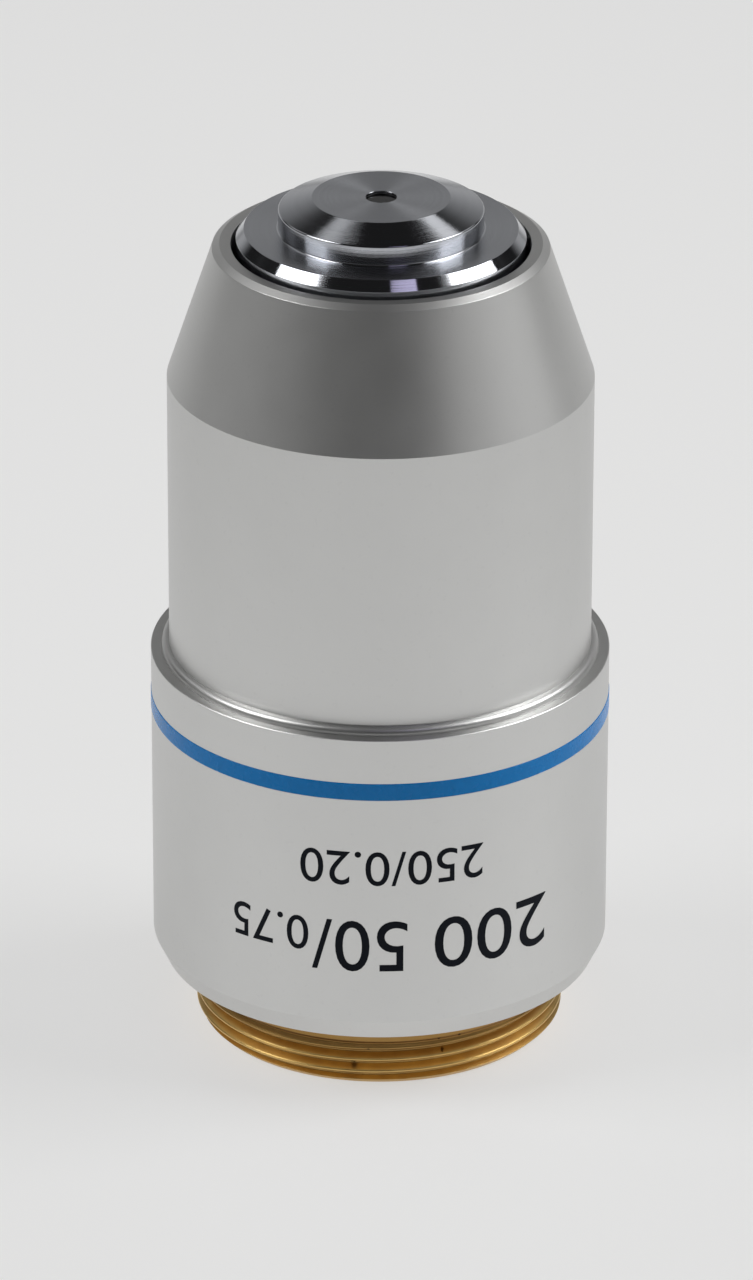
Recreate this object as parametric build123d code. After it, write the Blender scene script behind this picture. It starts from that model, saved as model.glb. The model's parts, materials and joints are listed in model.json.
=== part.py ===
from build123d import *
import os
from math import cos, radians, sin, sqrt

# A plan microscope objective with a spring-loaded nose, standing on its mounting thread.
# The origin is on the optical axis, in the plane of the shoulder that seats on the microscope.
# +Z runs from the shoulder to the nose, and the thread hangs below the shoulder.
# All sizes are in millimetres.

# Mounting thread
thread_radius = 10.13
thread_length = 3.9
thread_lead = 0.45
thread_wall = 2.08
register_step = 0.32

# Marked sleeve with its colour band
shoulder_width = 1.79
lip_bevel_width = 0.58
lip_bevel_height = 1.2
lip_height = 1.5
sleeve_length = 18.07
sleeve_wall = 1.5
sleeve_edge = 0.15
band_drop = 2.55
band_width = 0.98
band_depth = 0.3
band_proud = 0.03

# Nose housing: skirt, bead, barrel, cone and rim
skirt_length = 3.57
bead_size = 0.43
step_width = 1.0
barrel_length = 15.5
cone_height = 7.34
rim_width = 1.01
rim_bevel_width = 0.4
rim_bevel_height = 0.25
ledge_rise = 0.2

# Mount body inside the sleeve
body_rise = 1.93
body_step = 0.1

# Spring chamber
spring_space = 1.9
wire_radius = 0.4
spring_turns = 7
washer_thickness = 0.4
washer_margin = 0.2

# Travel of the lens unit
travel = 2.0
overrun = 0.1

# Lens tube and what sits on it
tube_wall = 1.4
neck_length = 6.0
neck_step = 0.3
tube_edge = 0.2
collar_height = 2.7
shim_thickness = 0.2

# Rear stop ring
stop_ring_top = 1.9
stop_ring_height = 1.5
stop_ring_width = 2.0
spanner_width = 1.2
spanner_depth = 0.7

# Guide screw and its slot
guide_height = 10.0
guide_screw_radius = 0.9
guide_point_radius = 0.7
guide_point_length = 1.0
guide_slot_depth = 0.9
screw_slot_width = 0.3
screw_slot_depth = 0.4
screw_recess = 0.15

# Polished front cell
nose_step = 0.24
nose_wall_height = 1.7
nose_bevel_width = 0.43
nose_bevel_height = 0.53
nose_ring_width = 2.26
disc_foot = 0.12
disc_wall_height = 1.12
disc_edge = 0.08
disc_cone_height = 0.65
disc_cone_width = 1.81
spigot_length = 3.4
spigot_wall = 1.57

# Front lens and its seat
window_radius = 0.83
window_lip = 0.15
front_face_radius = 1.0
front_lens_radius = 2.1
front_cone_height = 1.3
front_dome_height = 1.45
front_bore_height = 1.25

# Meniscus cell in the front cell
meniscus_cell_wall = 1.44
meniscus_edge = 1.1
meniscus_hollow_depth = 0.35
meniscus_dome_height = 1.15
meniscus_ledge = 0.9
meniscus_land = 0.8

# Lens cells, common sizes
cell_ledge = 0.7
lens_land = 0.55
lens_ring_height = 1.2
front_spacer_length = 1.2
middle_spacer_length = 2.2
spacer_wall = 1.5

# Front doublet
front_cell_wall = 1.34
front_crown_edge = 1.2
front_flint_edge = 2.2
front_crown_height = 0.9
front_joint_depth = 1.0
front_flint_height = 0.25
front_cell_length = 5.8

# Rear doublet, in a cell that three screws centre
rear_cell_wall = 1.49
rear_crown_edge = 1.3
rear_flint_edge = 2.1
rear_crown_height = 0.8
rear_joint_depth = 0.9
rear_flint_height = 0.1
rear_cell_length = 6.2
centring_space = 0.25
centring_screw_radius = 0.8
centring_screws = 3
centring_screw_angle = 30.0

# Aperture stop
stop_width = 3.17
stop_thickness = 0.6

# Rear lens, a thick cemented meniscus
rear_lens_cell_wall = 1.94
rear_lens_crown_edge = 1.6
rear_lens_flint_edge = 1.8
rear_lens_crown_height = 0.9
rear_lens_joint_depth = 0.5
rear_lens_hollow_depth = 0.8
rear_lens_cell_length = 6.0

# Retaining ring at the back of the lens tube
retaining_recess = 1.2
retaining_height = 1.8
retaining_width = 1.5

# Clearances and fits, on the radius unless said otherwise
running_fit = 0.05
assembly_fit = 0.03
screw_fit = 0.02
guide_fit = 0.1
cement = 0.01
nose_gap = 0.27
chamber_relief = 0.3

# Radii worked out from the thread, inwards and outwards
bore_radius = thread_radius - thread_wall
tube_radius = bore_radius - running_fit
lens_bore = tube_radius - tube_wall
cell_radius = lens_bore - assembly_fit
register_radius = thread_radius + register_step
lip_radius = thread_radius + shoulder_width
sleeve_radius = lip_radius + lip_bevel_width
sleeve_bore = sleeve_radius - sleeve_wall
body_radius = sleeve_bore - assembly_fit
barrel_radius = sleeve_radius - step_width
chamber_radius = tube_radius + spring_space
body_neck_radius = chamber_radius + body_step
nose_radius = tube_radius - nose_step
mouth_radius = nose_radius + nose_gap
rim_radius = mouth_radius + rim_width
neck_radius = tube_radius - neck_step
coil_radius = tube_radius + spring_space / 2
disc_radius = nose_radius - nose_ring_width
flat_radius = disc_radius - disc_cone_width

# Radii of the lenses, from the cells that hold them
meniscus_bore = cell_radius - spigot_wall
meniscus_cell_radius = meniscus_bore - assembly_fit
meniscus_radius = meniscus_cell_radius - meniscus_cell_wall - assembly_fit
meniscus_aperture = meniscus_radius - meniscus_land
front_doublet_radius = cell_radius - front_cell_wall - assembly_fit
rear_cell_radius = cell_radius - centring_space
rear_doublet_radius = rear_cell_radius - rear_cell_wall - assembly_fit
rear_lens_radius = cell_radius - rear_lens_cell_wall - assembly_fit
stop_aperture = cell_radius - stop_width

# Heights of the fixed pieces
bead_top = sleeve_length + bead_size
cone_base = bead_top + barrel_length
cone_top = cone_base + cone_height
rim_top = cone_top + rim_bevel_height
stop_height = cone_base + ledge_rise
skirt_bottom = sleeve_length - skirt_length
body_top = sleeve_length + body_rise
washer_top = body_top + washer_thickness
band_top = sleeve_length - band_drop
band_bottom = band_top - band_width

# Heights of the lens unit, hung from the stop ledge
collar_top = stop_height - shim_thickness
collar_bottom = collar_top - collar_height
seat_height = stop_height + neck_length
nose_bevel_bottom = seat_height + nose_wall_height
nose_ring_top = nose_bevel_bottom + nose_bevel_height
disc_cone_bottom = nose_ring_top + disc_wall_height
nose_tip = disc_cone_bottom + disc_cone_height
tube_bottom = stop_ring_top + overrun + travel
front_face_height = nose_tip - window_lip
front_cone_bottom = front_face_height - front_cone_height
meniscus_top = front_cone_bottom - front_bore_height
spigot_bottom = seat_height - spigot_length

# Heights of the lens stack, from the front cell down and from the back up
front_cell_top = spigot_bottom - front_spacer_length
middle_spacer_top = front_cell_top - front_cell_length
rear_cell_top = middle_spacer_top - middle_spacer_length
stop_top = rear_cell_top - rear_cell_length
rear_spacer_top = stop_top - stop_thickness
retaining_bottom = tube_bottom + retaining_recess
retaining_top = retaining_bottom + retaining_height
rear_lens_cell_top = retaining_top + rear_lens_cell_length


def in_section(point):
    """The 3-D point for a (radius, height) pair of the half section."""
    radius, height = point
    return (radius, 0, height)


def turned(*stops):
    """Solid of revolution about Z. A stop is a corner (radius, height), or a pair of such
    points: one that an arc passes through, and the one where the arc ends."""
    edges = []
    start = stops[0]
    for stop in stops[1:] + stops[:1]:
        if isinstance(stop[0], tuple):
            through, end = stop
            points = [in_section(point) for point in (start, through, end)]
            edges.append(ThreePointArc(*points))
        else:
            end = stop
            edges.append(Line(in_section(start), in_section(end)))
        start = end
    return revolve(make_face(edges), Axis.Z)


def ring(inner, outer, bottom, top):
    """A plain ring or disc with a hole, between two heights."""
    return turned((inner, bottom), (outer, bottom), (outer, top), (inner, top))


def radial_pin(radius, start, end, height, angle=0.0):
    """A round bar that points away from the axis, from one distance to another."""
    bar = Cylinder(radius, end - start, align=(Align.CENTER, Align.CENTER, Align.MIN))
    return Rot(0, 0, angle) * Pos(start, 0, height) * Rot(0, 90, 0) * bar


def grub_screw(radius, start, end, height, angle=0.0):
    """A headless screw in a radial hole, with a driver slot across its outer end."""
    slot = Pos(end, 0, height) * Box(2 * screw_slot_depth, 2 * radius, screw_slot_width)
    return radial_pin(radius, start, end, height, angle) - Rot(0, 0, angle) * slot


def spanner_slots(outer, face_height):
    """A bar across a ring's face, which cuts two slots for a pin spanner."""
    return Pos(0, 0, face_height) * Box(2 * outer, spanner_width, 2 * spanner_depth)


def surface_height(radius, clear, bulge):
    """Height of a spherical lens face over its rim at a radius, for a bulge at the middle."""
    sphere = (clear**2 + bulge**2) / (2 * abs(bulge))
    rise = sqrt(sphere**2 - radius**2) - sqrt(sphere**2 - clear**2)
    return rise if bulge > 0 else -rise


def lens(radius, bottom, top, bulge_down, bulge_up):
    """A lens with a flat land at its rim on both sides. A negative bulge is a hollow."""
    clear = radius - lens_land
    half = clear / 2
    top_half = (half, top + surface_height(half, clear, bulge_up))
    top_middle = (0.0, top + bulge_up)
    bottom_middle = (0.0, bottom - bulge_down)
    bottom_half = (half, bottom - surface_height(half, clear, bulge_down))
    return turned(
        (radius, bottom),
        (radius, top),
        (clear, top),
        (top_half, top_middle),
        bottom_middle,
        (bottom_half, (clear, bottom)),
    )


def lens_cell(radius, bottom, top, lens_radius, ledge=None, aperture=None):
    """A cell with a ledge at its top that the lens seats under."""
    ledge = cell_ledge if ledge is None else ledge
    aperture = lens_radius - lens_land + assembly_fit if aperture is None else aperture
    lens_seat = lens_radius + assembly_fit
    return turned(
        (lens_seat, bottom),
        (radius, bottom),
        (radius, top),
        (aperture, top),
        (aperture, top - ledge),
        (lens_seat, top - ledge),
    )


def lens_ring(lens_radius, top):
    """The ring that clamps a lens in its cell, with two spanner slots underneath."""
    bottom = top - lens_ring_height
    inner = lens_radius - lens_land + assembly_fit
    return ring(inner, lens_radius, bottom, top) - spanner_slots(lens_radius, bottom)


def doublet(radius, seat, crown_edge, flint_edge, crown_bulge, joint_bulge, flint_bulge):
    """A cemented pair under a cell's ledge: crown above, flint below, and their lower rim."""
    joint = seat - crown_edge
    bottom = joint - flint_edge
    crown = lens(radius, joint, seat, joint_bulge, crown_bulge)
    flint = lens(radius, bottom, joint - cement, flint_bulge, -joint_bulge)
    return crown, flint, bottom


def thread_mount():
    """Brass body: mounting thread, register for the sleeve, guide bore and upper neck."""
    neck_bottom = skirt_bottom - washer_margin
    body = turned(
        (bore_radius, -thread_length),
        (thread_radius - thread_lead, -thread_length),
        (thread_radius, thread_lead - thread_length),
        (thread_radius, 0.0),
        (register_radius, 0.0),
        (register_radius, lip_height),
        (body_radius, lip_height),
        (body_radius, neck_bottom),
        (body_neck_radius, neck_bottom),
        (body_neck_radius, body_top),
        (bore_radius, body_top),
    )
    hole = radial_pin(guide_screw_radius + screw_fit, 0.0, sleeve_bore, guide_height)
    return body - hole


def marked_sleeve():
    """Plated sleeve with an inward lip, a bevelled foot and a groove for the band."""
    band_floor = sleeve_radius - band_depth
    lip_bore = register_radius + assembly_fit
    return turned(
        (lip_bore, 0.0),
        (lip_radius, 0.0),
        (sleeve_radius, lip_bevel_height),
        (sleeve_radius, band_bottom),
        (band_floor, band_bottom),
        (band_floor, band_top),
        (sleeve_radius, band_top),
        (sleeve_radius, sleeve_length - sleeve_edge),
        (sleeve_radius - sleeve_edge, sleeve_length),
        (sleeve_bore, sleeve_length),
        (sleeve_bore, lip_height),
        (lip_bore, lip_height),
    )


def colour_band():
    """Blue band in the sleeve's groove, a hair proud of the sleeve."""
    inner = sleeve_radius - band_depth
    return ring(inner, sleeve_radius + band_proud, band_bottom, band_top)


def nose_housing():
    """Plated housing: skirt in the sleeve, round bead on its end, barrel, cone and rim."""
    neck_bore = body_neck_radius + assembly_fit
    chamber_bottom = body_top + chamber_relief
    bead_middle = bead_size * sin(radians(45))
    return turned(
        (neck_bore, skirt_bottom),
        (body_radius, skirt_bottom),
        (body_radius, sleeve_length),
        (barrel_radius + bead_size, sleeve_length),
        ((barrel_radius + bead_middle, sleeve_length + bead_middle), (barrel_radius, bead_top)),
        (barrel_radius, cone_base),
        (rim_radius, cone_top),
        (rim_radius - rim_bevel_width, rim_top),
        (mouth_radius, rim_top),
        (mouth_radius, stop_height),
        (chamber_radius, stop_height),
        (chamber_radius, chamber_bottom),
        (neck_bore, chamber_bottom),
    )


def spring_washer():
    """Thin washer on the body's end, under the spring."""
    inner = tube_radius + washer_margin
    return ring(inner, chamber_radius - washer_margin, body_top, washer_top)


def return_spring():
    """Compression spring around the lens tube, from the washer to the stop collar."""
    height = collar_bottom - washer_top - 2 * wire_radius
    path = Pos(0, 0, washer_top + wire_radius) * Helix(height / spring_turns, height, coil_radius)
    section = Plane(path @ 0, z_dir=path % 0) * Circle(wire_radius)
    return sweep(section, path=path)


def guide_screw():
    """Screw through the body whose point runs in the lens tube's slot, so it can't turn."""
    tip = tube_radius - guide_slot_depth + guide_fit
    shoulder = tip + guide_point_length
    point = radial_pin(guide_point_radius, tip, shoulder, guide_height)
    head = body_radius - screw_recess
    return grub_screw(guide_screw_radius, shoulder, head, guide_height) + point


def rear_stop_ring():
    """Ring in the thread's bore that the lens tube meets just past its full travel."""
    outer = bore_radius - assembly_fit
    bottom = stop_ring_top - stop_ring_height
    blank = ring(bore_radius - stop_ring_width, outer, bottom, stop_ring_top)
    return blank - spanner_slots(outer, bottom)


def lens_tube():
    """Sliding tube that holds every lens: guide length, neck, guide slot, screw holes."""
    tube = turned(
        (lens_bore, tube_bottom),
        (tube_radius - tube_edge, tube_bottom),
        (tube_radius, tube_bottom + tube_edge),
        (tube_radius, stop_height),
        (neck_radius, stop_height),
        (neck_radius, seat_height),
        (lens_bore, seat_height),
    )
    for angle in centring_angles():
        hole = centring_screw_radius + screw_fit
        tube -= radial_pin(hole, 0.0, tube_radius, centring_height(), angle)
    return tube - guide_slot()


def guide_slot():
    """The round-ended slot that rides over the guide screw's point."""
    radius = guide_point_radius + guide_fit
    floor = tube_radius - guide_slot_depth
    end = tube_radius + guide_slot_depth
    low = radial_pin(radius, floor, end, guide_height)
    high = radial_pin(radius, floor, end, guide_height + travel)
    middle = Box(end - floor, 2 * radius, travel, align=(Align.MIN, Align.CENTER, Align.MIN))
    return low + high + Pos(floor, 0, guide_height) * middle


def stop_collar():
    """Collar on the lens tube that guides it in the housing and takes the spring."""
    outer = chamber_radius - running_fit
    return ring(tube_radius + screw_fit, outer, collar_bottom, collar_top)


def parfocal_shim():
    """Shim between collar and stop ledge, which sets the working length."""
    outer = chamber_radius - washer_margin
    return ring(tube_radius + screw_fit, outer, collar_top, stop_height)


def front_cell():
    """Polished nose: spigot in the tube, outer ring, raised disc and bored lens seats."""
    foot_radius = disc_radius + disc_foot
    foot_top = nose_ring_top + disc_foot
    foot_middle = disc_foot * (1 - cos(radians(45)))
    lens_bore_radius = front_lens_radius + screw_fit
    return turned(
        (meniscus_bore, spigot_bottom),
        (cell_radius, spigot_bottom),
        (cell_radius, seat_height),
        (nose_radius, seat_height),
        (nose_radius, nose_bevel_bottom),
        (nose_radius - nose_bevel_width, nose_ring_top),
        (foot_radius, nose_ring_top),
        ((disc_radius + foot_middle, nose_ring_top + foot_middle), (disc_radius, foot_top)),
        (disc_radius, disc_cone_bottom - disc_edge),
        (disc_radius - disc_edge, disc_cone_bottom),
        (flat_radius, nose_tip),
        (window_radius, nose_tip),
        (window_radius, front_face_height),
        (front_face_radius + screw_fit, front_face_height),
        (lens_bore_radius, front_cone_bottom),
        (lens_bore_radius, meniscus_top),
        (meniscus_bore, meniscus_top),
    )


def front_lens():
    """Front lens: small flat face, conical side and a round back."""
    half = front_lens_radius / 2
    depth = surface_height(half, front_lens_radius, front_dome_height)
    return turned(
        (0.0, front_face_height),
        (front_face_radius, front_face_height),
        (front_lens_radius, front_cone_bottom),
        ((half, front_cone_bottom - depth), (0.0, front_cone_bottom - front_dome_height)),
    )


def meniscus_group():
    """Meniscus lens with its cell and ring, inside the front cell's spigot."""
    seat = meniscus_top - meniscus_ledge
    bottom = seat - meniscus_edge
    return {
        "meniscus_cell": lens_cell(
            meniscus_cell_radius,
            spigot_bottom,
            meniscus_top,
            meniscus_radius,
            meniscus_ledge,
            meniscus_aperture,
        ),
        "meniscus_lens": lens(
            meniscus_radius, bottom, seat, meniscus_dome_height, -meniscus_hollow_depth
        ),
        "meniscus_ring": lens_ring(meniscus_radius, bottom),
    }


def front_doublet_group():
    """Front doublet with its cell and ring."""
    crown, flint, bottom = doublet(
        front_doublet_radius,
        front_cell_top - cell_ledge,
        front_crown_edge,
        front_flint_edge,
        front_crown_height,
        front_joint_depth,
        front_flint_height,
    )
    return {
        "front_doublet_cell": lens_cell(
            cell_radius, middle_spacer_top, front_cell_top, front_doublet_radius
        ),
        "front_doublet_crown": crown,
        "front_doublet_flint": flint,
        "front_doublet_ring": lens_ring(front_doublet_radius, bottom),
    }


def rear_doublet_group():
    """Rear doublet with its ring, in a cell that leaves room for centring."""
    crown, flint, bottom = doublet(
        rear_doublet_radius,
        rear_cell_top - cell_ledge,
        rear_crown_edge,
        rear_flint_edge,
        rear_crown_height,
        rear_joint_depth,
        rear_flint_height,
    )
    return {
        "rear_doublet_cell": lens_cell(
            rear_cell_radius, stop_top, rear_cell_top, rear_doublet_radius
        ),
        "rear_doublet_crown": crown,
        "rear_doublet_flint": flint,
        "rear_doublet_ring": lens_ring(rear_doublet_radius, bottom),
    }


def rear_lens_group():
    """Thick cemented meniscus with its cell and ring, next to the retaining ring."""
    crown, flint, bottom = doublet(
        rear_lens_radius,
        rear_lens_cell_top - cell_ledge,
        rear_lens_crown_edge,
        rear_lens_flint_edge,
        rear_lens_crown_height,
        rear_lens_joint_depth,
        -rear_lens_hollow_depth,
    )
    return {
        "rear_lens_cell": lens_cell(
            cell_radius, retaining_top, rear_lens_cell_top, rear_lens_radius
        ),
        "rear_lens_crown": crown,
        "rear_lens_flint": flint,
        "rear_lens_ring": lens_ring(rear_lens_radius, bottom),
    }


def spacers():
    """Spacer tubes, aperture stop and retaining ring that clamp the stack together."""
    inner = cell_radius - spacer_wall
    retaining = ring(
        cell_radius - retaining_width, cell_radius, retaining_bottom, retaining_top
    )
    return {
        "front_spacer": ring(inner, cell_radius, front_cell_top, spigot_bottom),
        "middle_spacer": ring(inner, cell_radius, rear_cell_top, middle_spacer_top),
        "aperture_stop": ring(stop_aperture, cell_radius, rear_spacer_top, stop_top),
        "rear_spacer": ring(inner, cell_radius, rear_lens_cell_top, rear_spacer_top),
        "retaining_ring": retaining - spanner_slots(cell_radius, retaining_bottom),
    }


def centring_height():
    """Height of the screws that centre the rear doublet's cell: the cell's middle."""
    return (rear_cell_top + stop_top) / 2


def centring_angles():
    """Directions of the centring screws, evenly spaced."""
    return [centring_screw_angle + 360 * i / centring_screws for i in range(centring_screws)]


def centring_screw_set():
    """The centring screws, each bearing on the rear doublet's cell."""
    head = tube_radius - screw_recess
    screws = [
        grub_screw(centring_screw_radius, rear_cell_radius, head, centring_height(), angle)
        for angle in centring_angles()
    ]
    return Compound(screws)


nodes = {
    "thread_mount": thread_mount(),
    "marked_sleeve": marked_sleeve(),
    "colour_band": colour_band(),
    "nose_housing": nose_housing(),
    "spring_washer": spring_washer(),
    "return_spring": return_spring(),
    "guide_screw": guide_screw(),
    "rear_stop_ring": rear_stop_ring(),
    "lens_tube": lens_tube(),
    "stop_collar": stop_collar(),
    "parfocal_shim": parfocal_shim(),
    "front_cell": front_cell(),
    "front_lens": front_lens(),
    "centring_screws": centring_screw_set(),
    **meniscus_group(),
    **front_doublet_group(),
    **rear_doublet_group(),
    **rear_lens_group(),
    **spacers(),
}

os.makedirs("parts", exist_ok=True)
for name, shape in nodes.items():
    export_step(shape, f"parts/{name}.step")
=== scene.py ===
import json
import math

import bmesh
import bpy
import numpy as np
from bpy.props import FloatProperty, FloatVectorProperty, IntProperty, PointerProperty, StringProperty
from mathutils import Matrix, Vector


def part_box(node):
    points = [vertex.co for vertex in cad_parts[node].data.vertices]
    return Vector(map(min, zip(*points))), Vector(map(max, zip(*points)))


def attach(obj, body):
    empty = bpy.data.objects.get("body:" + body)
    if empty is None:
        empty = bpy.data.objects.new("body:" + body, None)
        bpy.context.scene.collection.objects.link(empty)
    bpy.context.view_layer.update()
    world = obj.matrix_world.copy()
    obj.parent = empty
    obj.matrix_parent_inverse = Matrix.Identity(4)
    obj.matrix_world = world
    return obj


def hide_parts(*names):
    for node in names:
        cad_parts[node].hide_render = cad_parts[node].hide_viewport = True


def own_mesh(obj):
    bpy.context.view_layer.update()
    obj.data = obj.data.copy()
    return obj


# Surfaces, finishes and studio of a microscope objective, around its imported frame.
# Lengths are in metres, and the defaults of sizes are written in millimetres. Heights are above the
# mounting shoulder, and the axis is Z. The front, where the camera stands, is -Y.
bl_info = {
    "name": "Microscope objective",
    "version": (1, 0, 0),
    "blender": (4, 5, 0),
    "location": "View3D > Sidebar > Objective",
    "description": "Builds the surfaces, finishes and studio of a microscope objective",
    "category": "Object",
}

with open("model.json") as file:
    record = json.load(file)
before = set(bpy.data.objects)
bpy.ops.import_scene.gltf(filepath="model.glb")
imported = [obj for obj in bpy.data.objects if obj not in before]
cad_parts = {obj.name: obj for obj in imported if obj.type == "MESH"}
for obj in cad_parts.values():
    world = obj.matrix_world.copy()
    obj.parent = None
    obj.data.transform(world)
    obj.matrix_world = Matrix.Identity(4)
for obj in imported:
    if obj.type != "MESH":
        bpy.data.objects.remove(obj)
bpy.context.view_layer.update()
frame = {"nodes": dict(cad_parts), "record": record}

MM = 0.001
ARC_STEPS = 5
TURN_STEPS = 256
FULL_TURN = 2 * math.pi
HOUSING = "housing"
LENS_UNIT = "lens_unit"
WHITE, BLACK = (1.0, 1.0, 1.0), (0.0, 0.0, 0.0)


def radius_of(node):
    """Largest radius of a node, from its box."""
    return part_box(node)[1].x


def top_of(node):
    """Height of a node's top."""
    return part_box(node)[1].z


def foot_of(node):
    """Height of a node's foot."""
    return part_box(node)[0].z


def mount_radius(name):
    """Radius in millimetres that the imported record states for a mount."""
    mounts = {mount["name"]: mount for mount in frame["record"]["mounts"]}
    return mounts[name]["dims"]["r_mm"]


def length(name, description, millimetres):
    """A size in the sidebar, given in millimetres here and kept in metres."""
    default = millimetres * MM
    return FloatProperty(name=name, description=description, default=default, precision=5, unit="LENGTH")


def angle(name, description, degrees):
    """An angle in the sidebar, given in degrees here and kept in radians."""
    default = math.radians(degrees)
    return FloatProperty(name=name, description=description, default=default, subtype="ANGLE")


def share(name, description, default):
    """A plain number in the sidebar."""
    return FloatProperty(name=name, description=description, default=default, precision=3, min=0.0)


def colour(name, description, default):
    """A colour in the sidebar, linear red, green and blue."""
    return FloatVectorProperty(
        name=name, description=description, default=default, size=3, subtype="COLOR", min=0.0, max=1.0
    )


class MountSizes(bpy.types.PropertyGroup):
    """Sizes of the brass body with the mounting thread."""

    thread_radius: length("Thread radius", "Radius of the thread's crests", mount_radius("mounting_thread"))
    pitch: length("Pitch", "Distance between neighbouring ridges", 25.4 / 36)
    lead: length("Lead-in", "Bevel at the thread's free end", 0.45)
    run_out: length("Run-out", "How far below the shoulder the thread starts to fade", 1.7)
    plain: length("Plain stretch", "How far below the shoulder the thread has gone", 1.15)
    crest_height: length("Crest height", "Height of one ridge at the front", -3.04)
    bore_gap: length("Bore gap", "Clearance between the bore and the sliding tube", 0.05)
    register_step: length("Register step", "Step from the thread out to the sleeve's seat", 0.32)
    register_height: length("Register height", "Height of that seat", 1.5)
    neck_radius: length("Neck radius", "Radius of the upper neck", 10.0)
    neck_foot: length("Neck foot", "Height where the upper neck starts", 14.3)
    screw_height: length("Screw height", "Height of the guide screw's hole", 10.0)
    screw_radius: length("Screw hole radius", "Radius of the guide screw's hole", 0.92)
    edge: length("Edge", "Rounding of the turned edges", 0.04)


class BarrelSizes(bpy.types.PropertyGroup):
    """Sizes of the plated sleeve, its band and the upper housing."""

    lip_radius: length("Lip radius", "Radius of the sleeve's foot under its bevel", 11.92)
    lip_bore: length("Lip bore", "Radius of the hole in the sleeve's foot", 10.48)
    lip_bevel: length("Lip bevel", "Height of the bevel at the sleeve's foot", 1.2)
    lip_height: length("Lip height", "Thickness of the sleeve's inward lip", 1.5)
    sleeve_bore: length("Sleeve bore", "Inner radius of the sleeve", 11.0)
    sleeve_edge: length("Sleeve edge", "Bevel of the sleeve's top edge", 0.035)
    band_depth: length("Band depth", "Depth of the groove under the colour band", 0.3)
    barrel_radius: length("Barrel radius", "Radius of the upper barrel", 11.5)
    skirt_radius: length("Skirt radius", "Radius of the skirt inside the sleeve", 10.97)
    skirt_bore: length("Skirt bore", "Inner radius of that skirt", 10.03)
    chamber_radius: length("Chamber radius", "Radius of the spring's chamber", 9.9)
    chamber_foot: length("Chamber foot", "Height where the chamber starts", 20.3)
    ledge_height: length("Ledge height", "Height of the ledge that stops the nose", 34.2)
    cone_foot: length("Cone foot", "Height where the cone starts", 34.0)
    cone_top: length("Cone top", "Height where the cone ends", 41.34)
    rim_radius: length("Rim radius", "Outer radius of the rim", 9.04)
    rim_bevel: length("Rim bevel", "Width of the rim's bevel", 0.4)
    mouth_radius: length("Mouth radius", "Radius of the mouth round the nose", 8.03)
    edge: length("Edge", "Rounding of the plated edges", 0.05)


class NoseSizes(bpy.types.PropertyGroup):
    """Sizes of the polished front cell."""

    spigot_radius: length("Spigot radius", "Radius of the part inside the lens tube", 6.57)
    lens_seat: length("Lens seat", "Radius of the hollow for the second lens", 5.0)
    bevel_foot: length("Bevel foot", "Height where the ring's bevel starts", 41.9)
    ring_top: length("Ring top", "Height of the outer ring", 42.43)
    ring_bevel: length("Ring bevel", "Width of the ring's bevel", 0.43)
    disc_radius: length("Disc radius", "Radius of the raised disc", 5.5)
    disc_shoulder: length("Disc shoulder", "Height where the disc's cone starts", 43.55)
    flat_radius: length("Flat radius", "Radius of the flat end", 3.69)
    window_radius: length("Window radius", "Radius of the window", 0.83)
    window_lip: length("Window lip", "Depth of the window's rim", 0.15)
    face_radius: length("Face radius", "Radius of the seat at the lens's face", 1.02)
    seat_radius: length("Seat radius", "Radius of the front lens's seat", 2.12)
    seat_top: length("Seat top", "Height of the top of that seat", 42.75)
    seat_foot: length("Seat foot", "Height of the foot of that seat", 41.5)
    foot_round: length("Foot rounding", "Rounding at the disc's foot", 0.12)
    shoulder_round: length("Shoulder rounding", "Rounding of the disc's edge", 0.12)
    edge: length("Edge", "Rounding of the polished edges", 0.03)


class SpringSizes(bpy.types.PropertyGroup):
    """Sizes of the return spring."""

    wire: length("Wire radius", "Radius of the spring's wire", 0.4)
    turns: IntProperty(name="Turns", description="Number of turns", default=7, min=2)
    end_share: share("End pitch", "Pitch at the ends as a share of the mean pitch", 0.59)


class NumeralSettings(bpy.types.PropertyGroup):
    """Plain numbers on the sleeve, upside down as they are read with the nose down."""

    large: StringProperty(name="Large numbers", description="First part of the main line", default="200")
    middle: StringProperty(name="Middle numbers", description="Second part of the main line", default="50/")
    small: StringProperty(name="Small numbers", description="Third part of the main line", default="0.75")
    upper: StringProperty(name="Upper line", description="The line above", default="250/0.20")
    large_height: length("Large height", "Height of the large digits", 3.0)
    small_height: length("Small height", "Height of the small digits", 2.0)
    main_line: length("Main line", "Height of the main line's base", 7.28)
    upper_line: length("Upper line height", "Height of the upper line's base", 11.45)
    thickness: length("Ink thickness", "How far the ink stands off the sleeve", 0.012)


class FinishColours(bpy.types.PropertyGroup):
    """Colours of the finishes."""

    satin: colour("Satin chrome", "Plated sleeve and housing", (0.68, 0.68, 0.67))
    blue: colour("Band blue", "Enamel of the colour band", (0.0005, 0.245, 0.68))
    thread: colour("Thread brass", "Crests of the mounting thread", (0.74, 0.50, 0.18))
    # Darker brass for a random stain, and also painted shade in the thread's roots.
    stain_and_root_shade: colour("Brass stain", "Darker brass in the roots", (0.52, 0.32, 0.11))
    # Brown brass that paints the shade under the shoulder.
    shoulder_shade: colour("Brass tarnish", "Brown brass near the shoulder", (0.25, 0.125, 0.035))
    dirt: colour("Dirt", "Specks on the thread", (0.03, 0.018, 0.008))
    polished: colour("Polished nose", "Turned and polished front cell", (0.56, 0.575, 0.61))
    brass: colour("Plain brass", "Lens tube, collar and shim", (0.70, 0.52, 0.22))
    # Also the painted shade inside the nose's window.
    black: colour("Black brass", "Lens cells, spacers and rings", (0.018, 0.017, 0.016))
    steel: colour("Bright steel", "Spring, washer and screws", (0.55, 0.55, 0.54))
    ink: colour("Ink", "Numerals on the sleeve", (0.006, 0.008, 0.013))


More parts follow.
